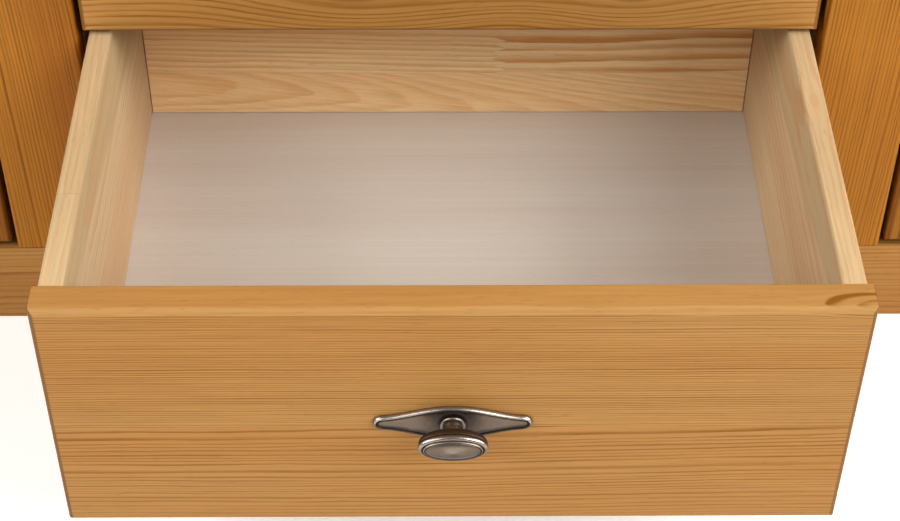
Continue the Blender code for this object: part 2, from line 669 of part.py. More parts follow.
def add_door(side, meshes):
    """One cupboard door on its two pivot pins."""
    prefix = f"{side_name(side)}_door"
    pivot_x = side * (DOOR_OUTER_X - PIN_INSET)
    bottom, top = FIRST_FRONT_BOTTOM, FIRST_FRONT_BOTTOM + DOOR_HEIGHT
    pivot = add_joint_empty(f"{prefix}_pivot", (pivot_x, FACE_Y + PIN_INSET, bottom))
    inner_edge = DOOR_INNER_X + DOOR_FRAME_WIDTH
    outer_edge = DOOR_OUTER_X - DOOR_FRAME_WIDTH
    hinge_stile = door_stile(f"{prefix}_hinge_stile", side, outer_edge, DOOR_OUTER_X,
                             DOOR_OUTER_X, outer_edge, pivot)
    door_stile(f"{prefix}_knob_stile", side, DOOR_INNER_X, inner_edge, DOOR_INNER_X,
               inner_edge, pivot)
    door_rail(f"{prefix}_bottom_rail", side, bottom, bottom + DOOR_FRAME_WIDTH,
              bottom + DOOR_FRAME_WIDTH, "-y-z", pivot)
    door_rail(f"{prefix}_top_rail", side, top - DOOR_FRAME_WIDTH, top,
              top - DOOR_FRAME_WIDTH, "-y+z", pivot)
    add_door_panel(f"{prefix}_panel", side, pivot)
    knob_x = side * (DOOR_INNER_X + DOOR_FRAME_WIDTH / 2)
    add_handle(prefix, (knob_x, FACE_Y, (bottom + top) / 2), True, meshes, pivot)

    depth = PIN_GRIP + PIN_PLAY
    for level, gap_z, rail in (("bottom", PLINTH_HEIGHT, "plinth_rail"),
                               ("top", top, "top_rail")):
        low_cut = bore_cutter(f"{prefix}_{level}_lower_bore", pivot_x, gap_z - depth,
                              gap_z + LEVEL_REVEAL / 2)
        high_cut = bore_cutter(f"{prefix}_{level}_upper_bore", pivot_x,
                               gap_z + LEVEL_REVEAL / 2, gap_z + LEVEL_REVEAL + depth)
        frame_cut, door_cut = (low_cut, high_cut) if level == "bottom" else (high_cut, low_cut)
        bore(bpy.data.objects[rail], frame_cut)
        bore(hinge_stile, door_cut)
        add_pin(f"{prefix}_{level}_pin", pivot_x, gap_z + LEVEL_REVEAL / 2)


# ---- The whole sideboard -----------------------------------------------------------

def main():
    clear_scene()
    add_flat_carcass_boards()
    add_face_frame()
    for side in (LEFT, RIGHT):
        add_end_panel(side)
        add_divider(side)
        add_shelf(side)
    meshes = (lofted_mesh("knob", knob_rings()), lofted_mesh("backplate", plate_rings()))
    openings = {"bottom": BOTTOM_DRAWER_OPENING, "middle": 0.0, "top": 0.0}
    for level, (drawer, opening) in enumerate(openings.items()):
        front_bottom = FIRST_FRONT_BOTTOM + level * DRAWER_PITCH
        add_drawer(drawer, front_bottom, opening, meshes)
        for side in (LEFT, RIGHT):
            add_runner(drawer, side, front_bottom)
    for side in (LEFT, RIGHT):
        add_door(side, meshes)
    bpy.context.view_layer.update()


main()
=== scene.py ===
"""Looks of the pine sideboard: timber, metal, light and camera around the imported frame."""

import json
import math
import random
from collections import namedtuple

import bmesh
import bpy
from mathutils import Matrix, Vector


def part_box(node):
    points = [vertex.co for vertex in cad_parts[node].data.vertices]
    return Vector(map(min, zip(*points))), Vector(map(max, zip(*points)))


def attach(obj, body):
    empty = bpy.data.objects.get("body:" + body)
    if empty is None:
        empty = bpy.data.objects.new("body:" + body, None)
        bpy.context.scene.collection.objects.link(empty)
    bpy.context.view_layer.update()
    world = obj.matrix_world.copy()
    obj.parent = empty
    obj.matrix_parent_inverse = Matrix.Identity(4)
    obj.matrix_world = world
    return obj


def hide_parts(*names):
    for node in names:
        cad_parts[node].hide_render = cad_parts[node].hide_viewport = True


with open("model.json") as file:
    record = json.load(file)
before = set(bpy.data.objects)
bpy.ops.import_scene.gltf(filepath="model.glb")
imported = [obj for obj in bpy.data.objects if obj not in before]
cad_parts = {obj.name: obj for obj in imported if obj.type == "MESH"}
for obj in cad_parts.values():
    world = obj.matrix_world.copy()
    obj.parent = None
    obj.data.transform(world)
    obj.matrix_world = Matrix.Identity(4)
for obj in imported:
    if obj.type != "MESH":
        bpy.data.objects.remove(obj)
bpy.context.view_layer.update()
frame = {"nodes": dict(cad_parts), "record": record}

X_AXIS = Vector((1, 0, 0))
Y_AXIS = Vector((0, 1, 0))
Z_AXIS = Vector((0, 0, 1))
SIDES = ("left", "right")
DRAWERS = ("bottom", "middle", "top")
HANDLED = [f"{name}_drawer" for name in DRAWERS] + [f"{name}_door" for name in SIDES]
MM = 0.001

FACE_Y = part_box("plinth_rail")[0][1]      # plane of the closed fronts and the stiles

# ---- Camera, light and floor -------------------------------------------------------

CAMERA_FROM_FACE = Vector((-0.0108, -0.9740, 0.9992))
CAMERA_PITCH = math.radians(44.13)
CAMERA_YAW = math.radians(-0.68)
CAMERA_ROLL = math.radians(0.34)
CAMERA_LENS = 78.0
SENSOR_WIDTH = 36.0
WORLD_STRENGTH = 0.26
LIT_PLACE = (0, -0.35, 0.15)
SOFTBOXES = (
    ("right_light", (2.4, -0.9, 1.7), 1.6, 84.0),
    ("left_light", (-2.4, -0.9, 1.7), 1.6, 60.0),
    ("front_right_light", (1.6, -1.9, 2.4), 1.4, 50.0),
    ("front_left_light", (-1.6, -1.9, 2.4), 1.4, 25.0),
    ("rear_light", (0.0, 1.2, 2.7), 1.6, 76.0),
)
FLOOR_SIZE = 14.0
FLOOR_GLOW = 0.19          # lifts the floor's shadows to a pale tone
FLOOR_DROP = 0.0004        # keeps the floor clear of the undersides
FLOOR_GREY = 0.95
FLOOR_ROUGHNESS = 0.9
FLOOR_SPECULAR = 0.1


def add_camera():
    """The viewpoint above and in front of the open drawer."""
    data = bpy.data.cameras.new("camera")
    data.lens = CAMERA_LENS
    data.sensor_width = SENSOR_WIDTH
    data.clip_start = 0.01
    camera = bpy.data.objects.new("camera", data)
    bpy.context.scene.collection.objects.link(camera)
    place = Matrix.Translation(Vector((0, FACE_Y, 0)) + CAMERA_FROM_FACE)
    turn = Matrix.Rotation(CAMERA_YAW, 4, "Z")
    look_down = Matrix.Rotation(math.pi / 2 - CAMERA_PITCH, 4, "X")
    camera.matrix_world = place @ turn @ look_down @ Matrix.Rotation(CAMERA_ROLL, 4, "Z")
    bpy.context.scene.camera = camera


def add_softbox(name, location, target, size, power):
    """A square area light that faces a target."""
    data = bpy.data.lights.new(name, "AREA")
    data.shape = "SQUARE"
    data.size = size
    data.energy = power
    light = bpy.data.objects.new(name, data)
    light.location = location
    aim = Vector(target) - Vector(location)
    light.rotation_euler = aim.to_track_quat("-Z", "Y").to_euler()
    bpy.context.scene.collection.objects.link(light)


def add_studio():
    """A pale floor, a faint white surround and five large soft lights around the piece."""
    world = bpy.data.worlds.new("studio")
    bpy.context.scene.world = world
    world.use_nodes = True
    background = world.node_tree.nodes["Background"]
    background.inputs["Color"].default_value = (1.0, 1.0, 1.0, 1.0)
    background.inputs["Strength"].default_value = WORLD_STRENGTH
    for name, location, size, power in SOFTBOXES:
        add_softbox(name, location, LIT_PLACE, size, power)

    half = FLOOR_SIZE / 2
    corners = [(-half, -half, 0), (half, -half, 0), (half, half, 0), (-half, half, 0)]
    mesh = bpy.data.meshes.new("floor")
    mesh.from_pydata(corners, [], [(0, 1, 2, 3)])
    floor = bpy.data.objects.new("floor", mesh)
    bpy.context.scene.collection.objects.link(floor)
    floor.location.z = -FLOOR_DROP
    paint = bpy.data.materials.new("floor_paint")
    paint.use_nodes = True
    shader = paint.node_tree.nodes["Principled BSDF"]
    shader.inputs["Base Color"].default_value = (FLOOR_GREY, FLOOR_GREY, FLOOR_GREY, 1)
    shader.inputs["Roughness"].default_value = FLOOR_ROUGHNESS
    shader.inputs["Specular IOR Level"].default_value = FLOOR_SPECULAR
    shader.inputs["Emission Color"].default_value = (1, 1, 1, 1)
    shader.inputs["Emission Strength"].default_value = FLOOR_GLOW
    mesh.materials.append(paint)
    bpy.context.scene.view_settings.view_transform = "Standard"


# ---- Node helpers ------------------------------------------------------------------

class Graph:
    """Adds nodes to a tree and links them, with plain numbers or sockets as inputs."""

    def __init__(self, tree):
        self.tree = tree

    def add(self, kind, inputs=(), **settings):
        """A node of a kind, its settings set and its inputs linked or filled."""
        node = self.tree.nodes.new(kind)
        for name, value in settings.items():
            setattr(node, name, value)
        pairs = inputs.items() if isinstance(inputs, dict) else enumerate(inputs)
        for key, value in pairs:
            self.feed(node.inputs[key], value)
        return node

    def feed(self, socket, value):
        if isinstance(value, bpy.types.NodeSocket):
            self.tree.links.new(value, socket)
        elif value is not None:
            socket.default_value = value

    def math(self, operation, *values, clamp=False):
        node = self.add("ShaderNodeMath", values, operation=operation, use_clamp=clamp)
        return node.outputs[0]

    def vector(self, operation, *values):
        node = self.add("ShaderNodeVectorMath", values, operation=operation)
        return node.outputs[1] if operation in ("LENGTH", "DOT_PRODUCT") else node.outputs[0]

    def stretch(self, vector, factor):
        """A vector times a number, which may be a socket."""
        node = self.add("ShaderNodeVectorMath", {0: vector, "Scale": factor}, operation="SCALE")
        return node.outputs[0]

    def scaled(self, vector, factors):
        """A vector times a constant vector."""
        return self.vector("MULTIPLY", vector, factors)

    def noise(self, vector, scale, detail=2.0, roughness=0.5, colour=False):
        node = self.add("ShaderNodeTexNoise",
                        {"Vector": vector, "Scale": scale, "Detail": detail,
                         "Roughness": roughness})
        return node.outputs["Color" if colour else "Fac"]

    def noise_along(self, number, scale, detail=1.0):
        """Noise that varies with one number."""
        node = self.add("ShaderNodeTexNoise", {"W": number, "Scale": scale, "Detail": detail},
                        noise_dimensions="1D")
        return node.outputs["Fac"]

    def ramp(self, value, low, high, start=0.0, end=1.0):
        """A smooth step from start to end as value goes from low to high."""
        node = self.add("ShaderNodeMapRange",
                        {"Value": value, "From Min": low, "From Max": high,
                         "To Min": start, "To Max": end},
                        interpolation_type="SMOOTHSTEP")
        return node.outputs["Result"]

    def blend(self, factor, first, second, kind="RGBA", mode="MIX"):
        """Two colours or two vectors mixed."""
        node = self.add("ShaderNodeMix", data_type=kind)
        if kind == "RGBA":
            node.blend_type = mode
        self.feed(node.inputs["Factor"], factor)
        ends = [socket for socket in node.inputs
                if socket.type == kind and socket.name in ("A", "B")]
        for socket, value in zip(ends, (first, second)):
            plain = isinstance(value, tuple) and kind == "RGBA"
            self.feed(socket, (*value, 1.0) if plain else value)
        return next(socket for socket in node.outputs if socket.type == kind)

    def between(self, factor, first, second):
        """Two numbers mixed."""
        if first == second:
            return first
        node = self.add("ShaderNodeMix", {"Factor": factor, 2: first, 3: second},
                        data_type="FLOAT")
        return node.outputs[0]

    def shaded(self, colour, shade):
        """A colour times a number."""
        grey = self.add("ShaderNodeCombineColor", (shade, shade, shade)).outputs[0]
        return self.blend(1.0, colour, grey, mode="MULTIPLY")


def new_material(name):
    """An empty material: its graph and its Principled shader."""
    material = bpy.data.materials.new(name)
    material.use_nodes = True
    return material, Graph(material.node_tree), material.node_tree.nodes["Principled BSDF"]


# ---- Pine --------------------------------------------------------------------------

def make_figure_group():
    """The figure of pine as a solid pattern around a log's axis, which is local X.

    Growth rings are shells around the axis, wavy along it.  Each goes gradually from
    pale early wood to dark late wood and ends sharply, and some are stronger.
    """
    tree = bpy.data.node_groups.new("pine_figure", "ShaderNodeTree")
    interface = tree.interface
    interface.new_socket("Log", in_out="INPUT", socket_type="NodeSocketVector")
    for name in ("Ring Width", "Wave", "Late Start"):
        interface.new_socket(name, in_out="INPUT", socket_type="NodeSocketFloat")
    for name in ("Late Wood", "Fibre", "Tone", "Ducts"):
        interface.new_socket(name, in_out="OUTPUT", socket_type="NodeSocketFloat")
    g = Graph(tree)
    given = g.add("NodeGroupInput").outputs
    log = given["Log"]

    wander = g.noise(g.scaled(log, (2.2, 6.0, 6.0)), 1.0, 1.0, colour=True)
    wander = g.vector("SUBTRACT", wander, (0.5, 0.5, 0.5))
    wavy = g.vector("ADD", log, g.stretch(wander, given["Wave"]))
    radius = g.vector("LENGTH", g.scaled(wavy, (0.0, 1.0, 1.0)))
    ripple = g.math("SUBTRACT", g.noise(g.scaled(log, (15.0, 90.0, 90.0)), 1.0, 3.0), 0.5)
    radius = g.math("MULTIPLY_ADD", ripple, g.math("MULTIPLY", given["Ring Width"], 0.8), radius)

    turns = g.math("DIVIDE", radius, given["Ring Width"])
    spread = g.math("SUBTRACT", g.noise_along(turns, 0.21), 0.5)
    turns = g.math("MULTIPLY_ADD", spread, 2.2, turns)
    phase = g.math("FRACT", turns)
    rise = g.ramp(phase, given["Late Start"], 0.88)
    fall = g.ramp(phase, 0.90, 1.0, 1.0, 0.0)
    year = g.add("ShaderNodeTexWhiteNoise", {"W": g.math("FLOOR", turns)},
                 noise_dimensions="1D")
    strength = g.ramp(year.outputs["Value"], 0.0, 1.0, 0.65, 1.0)
    era = g.ramp(g.noise_along(turns, 0.07), 0.30, 0.60, 0.55, 1.0)
    streak = g.ramp(g.noise(g.scaled(log, (7.0, 260.0, 260.0)), 1.0, 2.0), 0.30, 0.6, 0.45, 1.0)
    late = g.math("MULTIPLY", g.math("MULTIPLY", rise, fall), strength)
    late = g.math("MULTIPLY", g.math("MULTIPLY", late, era), streak)

    fibre = g.noise(g.scaled(log, (16.0, 640.0, 640.0)), 1.0, 3.0, 0.6)
    tone = g.noise(g.scaled(log, (1.5, 16.0, 16.0)), 1.0, 2.0)
    ducts = g.ramp(g.noise(g.scaled(log, (110.0, 1500.0, 1500.0)), 1.0, 0.0), 0.70, 0.78)
    out = g.add("NodeGroupOutput")
    for name, value in (("Late Wood", late), ("Fibre", fibre), ("Tone", tone),
                        ("Ducts", ducts)):
        g.feed(out.inputs[name], value)
    return tree


FIGURE = make_figure_group()

# A piece sawn from one log: a point on the log's axis, the width of its rings, how far
# they wave, the axis's lean for each metre along the grain, where in the log it begins,
# and how strongly its rings show.
Stave = namedtuple("Stave", "pith ring_width wave lean start contrast", defaults=(0.9,))

# Two pieces of timber that meet at a place along an axis, low side first.  Fingers is the
# reach of a finger joint, whose fingers follow one another along another axis.
Joint = namedtuple("Joint", "axis place low high fingers across", defaults=(0.0, 2))

FINGER_PITCH = 6.4 * MM
GLUE_LINE = 0.25 * MM

# Linear colours of early and late wood, of warmer early wood, of end grain, of sapwood (darkened
# as painted shade where the raw sides' tops catch more light) and of a paler band along a top
# front edge; where in a ring late wood starts; and how rough and shiny it all is
STAINED = {
    "early": (0.322, 0.162, 0.046), "late": (0.176, 0.066, 0.005), "warm": (0.306, 0.139, 0.034),
    "end": (0.135, 0.055, 0.008), "paler_upwards": (0.345, 0.187, 0.062), "start": 0.46,
    "roughness": 0.46, "specular": 0.08,
}
STREAKED = {
    "early": (0.320, 0.124, 0.0115), "late": (0.108, 0.028, 0.002), "warm": (0.270, 0.094, 0.009),
    "end": (0.12, 0.037, 0.004), "start": 0.40, "roughness": 0.46, "specular": 0.08,
}
RAW = {
    "early": (0.53, 0.38, 0.218), "late": (0.44, 0.225, 0.090), "warm": (0.50, 0.325, 0.175),
    # the sapwood colour is darker than the early wood as painted shade for the tops that catch
    # more light
    "end": (0.42, 0.25, 0.105), "sapwood_and_shade": (0.450, 0.325, 0.172), "start": 0.20,
    "roughness": 0.66, "specular": 0.2,
}
# Raw pine of the drawer backs: warmer figure, and paler than RAW as painted light for backs in
# the carcass's shade
RAW_BACK_WITH_PAINTED_LIGHT = {
    "early": (0.90, 0.665, 0.37), "late": (0.66, 0.31, 0.085), "warm": (0.88, 0.58, 0.29),
    "end": (0.58, 0.37, 0.19), "start": 0.18, "roughness": 0.66, "specular": 0.2,
}


def lighter(look, factor):
    """A look with its timber colours brightened."""
    tones = {key: tuple(value * factor for value in look[key])
             for key in ("early", "late", "warm", "end")}
    return {**look, **tones}


def sawn(g, axes, timber, grain):
    """The log's axis, ring width, wave, contrast and glue lines at each place in a timber."""
    if isinstance(timber, Stave):
        run = max(range(3), key=lambda axis: abs(grain[axis]))
        lean = Vector(timber.lean)
        base = timber.pith - lean * timber.pith[run] - timber.start * grain
        pith = g.vector("ADD", g.stretch(tuple(lean), axes[run]), tuple(base))
        return pith, timber.ring_width, timber.wave, timber.contrast, 0.0
    along = axes[timber.axis]
    if timber.fingers:
        zigzag = g.math("PINGPONG", axes[timber.across], FINGER_PITCH / 2)
        along = g.math("MULTIPLY_ADD", zigzag, -2 * timber.fingers / FINGER_PITCH, along)
    past = g.math("SUBTRACT", along, timber.place)
    beyond = g.math("GREATER_THAN", past, 0.0)
    low = sawn(g, axes, timber.low, grain)
    high = sawn(g, axes, timber.high, grain)
    pith = g.blend(beyond, low[0], high[0], kind="VECTOR")
    ring_width, wave, contrast, inner = (g.between(beyond, *pair)
                                         for pair in zip(low[1:], high[1:]))
    line = g.ramp(g.math("ABSOLUTE", past), GLUE_LINE / 2, GLUE_LINE, 1.0, 0.0)
    return pith, ring_width, wave, contrast, g.math("MAXIMUM", line, inner)


def log_place(g, place, pith, grain):
    """Log coordinates of a place, for a log whose axis runs along grain through pith."""
    across = Z_AXIS if abs(grain.z) < 0.5 else X_AXIS
    rows = Matrix((grain, across, grain.cross(across)))
    from_pith = g.vector("SUBTRACT", place, pith)
    node = g.add("ShaderNodeMapping", {"Vector": from_pith}, vector_type="POINT")
    node.inputs["Rotation"].default_value = rows.to_euler("XYZ")
    return node.outputs["Vector"]


KNOT_STRETCH = 0.62        # how far a knot's pull is drawn out along the grain
KNOT_FALL = 0.55           # how fast the pull fades away from the knot
KNOT_PULL = 0.9
KNOT_DARKNESS = 0.5


def knotted(g, place, knots, grain):
    """A place drawn towards the knots near it, and how deep in a knot it is."""
    squeeze = Vector((1, 1, 1)) - KNOT_STRETCH * Vector(grain)
    core = 0.0
    for centre, width in knots:
        away = g.vector("SUBTRACT", place, tuple(centre))
        reach = g.vector("LENGTH", g.scaled(away, tuple(squeeze / width)))
        squared = g.math("MULTIPLY", reach, reach)
        pull = g.math("EXPONENT", g.math("MULTIPLY", squared, -KNOT_FALL))
        pull = g.math("MULTIPLY", pull, KNOT_PULL)
        place = g.vector("SUBTRACT", place, g.stretch(away, pull))
        core = g.math("MAXIMUM", core, g.ramp(reach, 0.32, 0.46, 1.0, 0.0))
    return place, core


ARRIS_BAND_WAVE = 4 * MM       # how far the pale band's border wanders
ARRIS_BAND_FAR = 2.1 * MM      # below the arris, where the pale band starts
ARRIS_BAND_NEAR = 1.1 * MM     # and where it is full
ARRIS_BAND_SHARE = 0.75
SAP_WANDER = 8 * MM
DUCT_DARKNESS = 0.14
GLUE_DARKNESS = 0.22


def pine(name, look, grain, timber, knots=(), sapwood=None, arris=None):
    """Pine: timber is one stave, or joints between several.

    Sapwood is how high the heartwood reaches at y = 0, and how much higher for each metre.
    Arris is z less y at the top front edge, along which the colour turns paler in a band.
    """
    material, g, shader = new_material(name)
    source = g.add("ShaderNodeTexCoord")
    place = source.outputs["Object"]
    axes = g.add("ShaderNodeSeparateXYZ", (place,)).outputs
    pith, ring_width, wave, contrast, glue = sawn(g, axes, timber, grain)
    if knots:
        place, core = knotted(g, place, knots, grain)
    log = log_place(g, place, pith, grain)
    figure = g.add("ShaderNodeGroup", node_tree=FIGURE)
    for key, value in (("Log", log), ("Ring Width", ring_width), ("Wave", wave),
                       ("Late Start", look["start"])):
        g.feed(figure.inputs[key], value)
    late = figure.outputs["Late Wood"]
    fibre = figure.outputs["Fibre"]

    body = g.blend(g.ramp(figure.outputs["Tone"], 0.36, 0.66), look["early"], look["warm"])
    if sapwood:
        reach = g.math("MULTIPLY_ADD", axes[1], -sapwood[1], axes[2])
        reach = g.math("MULTIPLY_ADD", figure.outputs["Tone"], SAP_WANDER, reach)
        pale = g.ramp(reach, sapwood[0] + 2 * MM, sapwood[0] + 6 * MM)
        body = g.blend(pale, body, look["sapwood_and_shade"])
    colour = g.blend(g.math("MULTIPLY", late, contrast), body, look["late"])
    if knots:
        colour = g.blend(g.math("MULTIPLY", core, KNOT_DARKNESS), colour, look["end"])
    if arris:
        reach = g.math("SUBTRACT", axes[2], axes[1])
        wander = g.noise(g.scaled(place, (18.0, 30.0, 30.0)), 1.0, 2.0)
        reach = g.math("MULTIPLY_ADD", wander, ARRIS_BAND_WAVE, reach)
        pale = g.ramp(reach, arris - ARRIS_BAND_FAR, arris - ARRIS_BAND_NEAR, 0.0, ARRIS_BAND_SHARE)
        colour = g.blend(pale, colour, look["paler_upwards"])
    shade = g.ramp(fibre, 0.25, 0.75, 0.90, 1.06)
    marks = g.math("MULTIPLY", figure.outputs["Ducts"], DUCT_DARKNESS)
    if isinstance(timber, Joint):
        marks = g.math("MULTIPLY_ADD", glue, GLUE_DARKNESS, marks)
    colour = g.shaded(colour, g.math("SUBTRACT", shade, marks))
    facing = g.vector("DOT_PRODUCT", source.outputs["Normal"], tuple(grain))
    end_grain = g.ramp(g.math("ABSOLUTE", facing), 0.05, 0.40, 0.0, 0.95)
    colour = g.blend(end_grain, colour, look["end"])
    g.feed(shader.inputs["Base Color"], colour)

    rough = look["roughness"]
    g.feed(shader.inputs["Roughness"], g.ramp(fibre, 0.2, 0.8, rough - 0.05, rough + 0.10))
    shader.inputs["Specular IOR Level"].default_value = look["specular"]
    height = g.math("MULTIPLY_ADD", late, 0.6, fibre)
    bump = g.add("ShaderNodeBump", {"Height": height, "Strength": 0.22, "Distance": 0.2 * MM})
    g.feed(shader.inputs["Normal"], bump.outputs["Normal"])
    return material


# ---- Other materials ---------------------------------------------------------------

def pale_panel():
    """The drawer floors' pale satin sheet, faintly printed with grain along X."""
    material, g, shader = new_material("pale_panel")
    place = g.add("ShaderNodeTexCoord").outputs["Object"]
    grain = g.noise(g.scaled(place, (5.0, 260.0, 260.0)), 1.0, 3.0, 0.6)
    broad = g.noise(g.scaled(place, (1.5, 22.0, 22.0)), 1.0, 2.0)
    specks = g.ramp(g.noise(g.scaled(place, (240.0, 1300.0, 1300.0)), 1.0, 0.0), 0.74, 0.80)
    colour = g.blend(g.ramp(broad, 0.35, 0.65), (0.58, 0.515, 0.445), (0.555, 0.475, 0.405))
    shade = g.ramp(grain, 0.30, 0.70, 0.965, 1.015)
    colour = g.shaded(colour, g.math("MULTIPLY_ADD", specks, -0.10, shade))
    g.feed(shader.inputs["Base Color"], colour)
    g.feed(shader.inputs["Roughness"], g.ramp(grain, 0.2, 0.8, 0.36, 0.48))
    shader.inputs["Specular IOR Level"].default_value = 0.4
    bump = g.add("ShaderNodeBump", {"Height": grain, "Strength": 0.08, "Distance": 0.1 * MM})
    g.feed(shader.inputs["Normal"], bump.outputs["Normal"])
    return material


def old_silver():
    """Antiqued metal: bright where the wear attribute is high, blackened where it is low; that
    attribute carries wear and painted shade.
    """
    material, g, shader = new_material("old_silver")
    place = g.add("ShaderNodeTexCoord").outputs["Object"]
    wear_and_shade = g.add("ShaderNodeAttribute", attribute_name="wear_and_shade").outputs["Fac"]
    hammer = g.noise(place, 300.0, 2.0, 0.5)
    patches = g.noise(place, 90.0, 3.0, 0.6)
    fine = g.noise(place, 2200.0, 2.0)
    level = g.math("MULTIPLY_ADD", g.math("SUBTRACT", patches, 0.5), 0.40, wear_and_shade)
    level = g.math("MULTIPLY_ADD", g.math("SUBTRACT", fine, 0.5), 0.12, level)
    colour = g.blend(g.ramp(level, 0.0, 0.45), (0.020, 0.013, 0.010), (0.118, 0.086, 0.064))
    colour = g.blend(g.ramp(level, 0.45, 1.0), colour, (0.335, 0.285, 0.23))
    g.feed(shader.inputs["Base Color"], colour)
    g.feed(shader.inputs["Metallic"], g.ramp(level, 0.0, 0.3, 0.75, 1.0))
    g.feed(shader.inputs["Roughness"], g.ramp(level, 0.1, 1.0, 0.48, 0.27))
    height = g.math("MULTIPLY_ADD", fine, 0.08, hammer)
    bump = g.add("ShaderNodeBump", {"Height": height, "Strength": 0.15, "Distance": 0.3 * MM})
    g.feed(shader.inputs["Normal"], bump.outputs["Normal"])
    return material


def bright_steel():
    """Zinc-plated steel of pins, nails and screws."""
    material, g, shader = new_material("bright_steel")
    place = g.add("ShaderNodeTexCoord").outputs["Object"]
    drawn = g.noise(g.scaled(place, (1.0, 1.0, 0.05)), 2400.0, 2.0)
    clouds = g.noise(place, 260.0, 2.0)
    colour = g.blend(g.ramp(clouds, 0.3, 0.7), (0.50, 0.50, 0.52), (0.62, 0.61, 0.58))
    g.feed(shader.inputs["Base Color"], colour)
    shader.inputs["Metallic"].default_value = 1.0
    g.feed(shader.inputs["Roughness"], g.ramp(drawn, 0.25, 0.75, 0.26, 0.42))
    bump = g.add("ShaderNodeBump", {"Height": drawn, "Strength": 0.1, "Distance": 0.05 * MM})
    g.feed(shader.inputs["Normal"], bump.outputs["Normal"])
    return material


PALE_PANEL = pale_panel()
OLD_SILVER = old_silver()
BRIGHT_STEEL = bright_steel()

# ---- Pieces ------------------------------------------------------------------------

EASE = 0.6 * MM
PIN_EASE = 0.4 * MM
SHEET_EASE = 0.3 * MM
SHARP = math.radians(30)
FLAT = math.radians(0.5)   # edges that turn less are dissolved
BOARD_CREASE = math.radians(35)
METAL_CREASE = math.radians(50)


def eased_copy(node, radius=EASE):
    """A new mesh of a CAD node with its sharp outer edges eased."""
    bm = bmesh.new()
    bm.from_mesh(frame["nodes"][node].data)
    bmesh.ops.remove_doubles(bm, verts=bm.verts, dist=1e-5)
    bmesh.ops.dissolve_limit(bm, angle_limit=FLAT, verts=bm.verts, edges=bm.edges)
    sharp = [edge for edge in bm.edges
             if edge.is_manifold and edge.is_convex and edge.calc_face_angle() > SHARP]
    bmesh.ops.bevel(bm, geom=sharp, offset=radius, segments=2, profile=0.5,
                    affect="EDGES", clamp_overlap=True)
    mesh = bpy.data.meshes.new(node)
    bm.to_mesh(mesh)
    bm.free()
    mesh.shade_smooth()
    mesh.set_sharp_from_angle(angle=BOARD_CREASE)
    return mesh


def body_of(node):
    """The name of the CAD body that a node belongs to."""
    bodies = frame["record"]["behaviour"]["bodies"]
    return next(name for name, nodes in bodies.items() if node in nodes)


def slot_of(node):
    """The record's material slot of a node."""
    parts = frame["record"]["subparts"]
    return next(part["material_slot"] for part in parts if part["node"] == node)


def add_piece(name, mesh, material, body):
    """Put a mesh in the scene as a piece that rides with a body."""
    mesh.materials.clear()
    mesh.materials.append(material)
    piece = bpy.data.objects.new(name, mesh)
    bpy.context.scene.collection.objects.link(piece)
    flat = piece.modifiers.new("even_normals", "WEIGHTED_NORMAL")
    flat.keep_sharp = True
    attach(piece, body)
    return piece


def stand_for(node, mesh, material, suffix):
    """A piece in place of a CAD node, on the same body."""
    piece = add_piece(f"{node}_{suffix}", mesh, material, body_of(node))
    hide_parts(node)


def middle(node):
    """The centre of a CAD node's box."""
    low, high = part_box(node)
    return (low + high) / 2


# ---- Boards ------------------------------------------------------------------------

STAVE_WIDTH = 0.085        # usual width of the pieces in a glued-up panel
LOOKS = {"stained_pine": STAINED, "stained_pine_stile": STREAKED, "raw_pine": RAW}


def longest_axis(node):
    """The index of the axis along which a CAD node is longest."""
    low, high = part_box(node)
    size = high - low
    return max(range(3), key=lambda axis: size[axis])


PITH_NEAR = 0.05           # bounds of how far a random log's axis passes from its board
PITH_FAR = 0.14


def random_stave(rng, centre, grain):
    """A stave from a log whose axis passes beside a place."""
    across = Z_AXIS if abs(grain.z) < 0.5 else X_AXIS
    angle = rng.uniform(0, 2 * math.pi)
    aside = math.cos(angle) * across + math.sin(angle) * grain.cross(across)
    lean = rng.uniform(-0.02, 0.02) * across + rng.uniform(-0.02, 0.02) * grain.cross(across)
    return Stave(centre + aside * rng.uniform(PITH_NEAR, PITH_FAR), rng.uniform(2.3, 3.6) * MM,
                 rng.uniform(5, 12) * MM, lean, rng.uniform(-4, 4))


def glued_up(rng, node, axis, grain):
    """The timber of a panel of staves side by side along an axis."""
    low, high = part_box(node)
    count = max(1, round((high[axis] - low[axis]) / STAVE_WIDTH))
    pitch = (high[axis] - low[axis]) / count
    timber = random_stave(rng, middle(node), grain)
    for number in range(count - 1, 0, -1):
        seam = low[axis] + pitch * (number + rng.uniform(-0.12, 0.12))
        timber = Joint(axis, seam, random_stave(rng, middle(node), grain), timber)
    return timber


# Wide boards, glued up of staves: the axis across the staves and the grain's direction
WIDE_BOARDS = {
    "top_board": (1, X_AXIS), "base_board": (1, X_AXIS),
    "left_end_panel": (1, Z_AXIS), "right_end_panel": (1, Z_AXIS),
    "left_divider": (1, Z_AXIS), "right_divider": (1, Z_AXIS),
    "left_shelf": (1, X_AXIS), "right_shelf": (1, X_AXIS),
    "left_door_panel": (0, Z_AXIS), "right_door_panel": (0, Z_AXIS),
}


PLINTH_SHADE = 1.12        # the plinth's timber against that of the other stained boards
DOOR_TIMBER_AND_SHADE = 0.82          # the door frames' timber against the stiles', darkened further as painted shade


